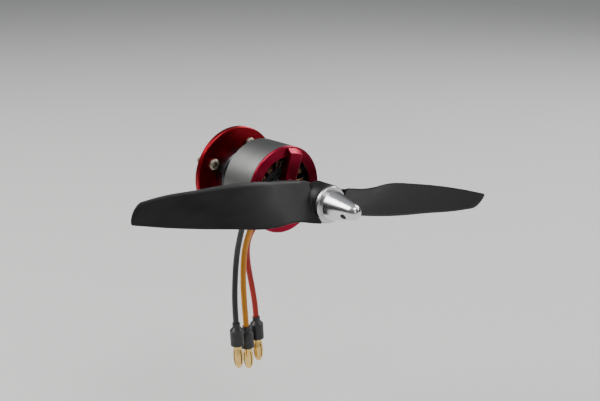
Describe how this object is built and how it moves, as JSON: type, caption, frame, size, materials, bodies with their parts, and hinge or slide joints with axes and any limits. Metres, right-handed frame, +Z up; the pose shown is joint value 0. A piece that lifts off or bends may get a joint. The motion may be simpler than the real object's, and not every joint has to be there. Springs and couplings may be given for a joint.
{
  "type": "brushless outrunner motor",
  "caption": "Small brushless outrunner motor with a round bulkhead plate, silver can, red spoked bell, hanging leads and a two-blade propeller on a collet adapter.",
  "frame": {"origin": "centre of the mounting plate's rear face, on the rotor's axis", "axes": "+Y along the rotor's axis out of the plate's rear face, so the propeller points along -Y; +Z up; +X to the side"},
  "size_m": [0.141, 0.065, 0.0866],
  "materials": {
    "plate_anodised": "dark red anodised, satin",
    "bell_anodised": "crimson anodised, satin, turned",
    "dark_anodised": "dark grey anodised, satin, turned",
    "can_steel": "nickel-plated steel, finely turned, satin",
    "screw_steel": "bright zinc-plated steel",
    "black_steel": "black oxide steel",
    "shaft_steel": "ground hardened steel",
    "bearing_steel": "ground bearing steel",
    "cage_brass": "pressed brass",
    "lamination": "epoxy-coated electrical steel laminations",
    "copper_wire": "enamelled copper wire, glossy varnish",
    "magnet": "nickel-plated sintered magnet",
    "bright_aluminium": "machined, bright",
    "polished_aluminium": "polished",
    "prop_plastic": "glass-filled nylon, satin with a fine moulded grain",
    "silicone_yellow": "silicone-insulated wire, orange-yellow, soft sheen",
    "silicone_black": "silicone-insulated wire, black, soft sheen",
    "silicone_red": "silicone-insulated wire, red, soft sheen",
    "shrink_tube": "black heat-shrink tube",
    "gold_plate": "gold-plated copper"
  },
  "bodies": {
    "stator": {"mount_plate": "plate_anodised", "plate_screws": "screw_steel", "base_screws": "screw_steel", "stator_base": "dark_anodised", "stator_core": "lamination", "windings_phase_a": "copper_wire", "windings_phase_b": "copper_wire", "windings_phase_c": "copper_wire", "front_bearing_outer_race": "bearing_steel", "front_bearing_shields": "bearing_steel", "rear_bearing_outer_race": "bearing_steel", "rear_bearing_shields": "bearing_steel", "lead_sleeves": "shrink_tube", "lead_yellow": "silicone_yellow", "bullet_connector_yellow": "gold_plate", "connector_shrink_yellow": "shrink_tube", "lead_black": "silicone_black", "bullet_connector_black": "gold_plate", "connector_shrink_black": "shrink_tube", "lead_red": "silicone_red", "bullet_connector_red": "gold_plate", "connector_shrink_red": "shrink_tube"},
    "rotor": {"flux_ring": "can_steel", "magnets": "magnet", "bell": "bell_anodised", "set_screws": "black_steel", "shaft": "shaft_steel", "shaft_clip": "black_steel", "thrust_washer": "bearing_steel", "front_bearing_inner_race": "bearing_steel", "rear_bearing_inner_race": "bearing_steel", "prop_collet": "bright_aluminium", "drive_flange": "bright_aluminium", "propeller": "prop_plastic", "prop_washer": "bright_aluminium", "spinner_nut": "polished_aluminium"},
    "front_ball_set": {"front_bearing_balls": "bearing_steel", "front_bearing_cage": "cage_brass"},
    "rear_ball_set": {"rear_bearing_balls": "bearing_steel", "rear_bearing_cage": "cage_brass"}
  },
  "joints": [
    {"name": "rotor_spin", "type": "hinge", "parent": "stator", "child": "rotor", "pos_m": [0, -0.02, 0], "axis": [0, -1, 0], "continuous": true},
    {"name": "front_ball_orbit", "type": "hinge", "parent": "stator", "child": "front_ball_set", "pos_m": [0, -0.0231, 0], "axis": [0, -1, 0], "continuous": true},
    {"name": "rear_ball_orbit", "type": "hinge", "parent": "stator", "child": "rear_ball_set", "pos_m": [0, -0.0047, 0], "axis": [0, -1, 0], "continuous": true}
  ],
  "couplings": [
    {"joint": "front_ball_orbit", "follows": "rotor_spin", "ratio": 0.39},
    {"joint": "rear_ball_orbit", "follows": "rotor_spin", "ratio": 0.39}
  ]
}
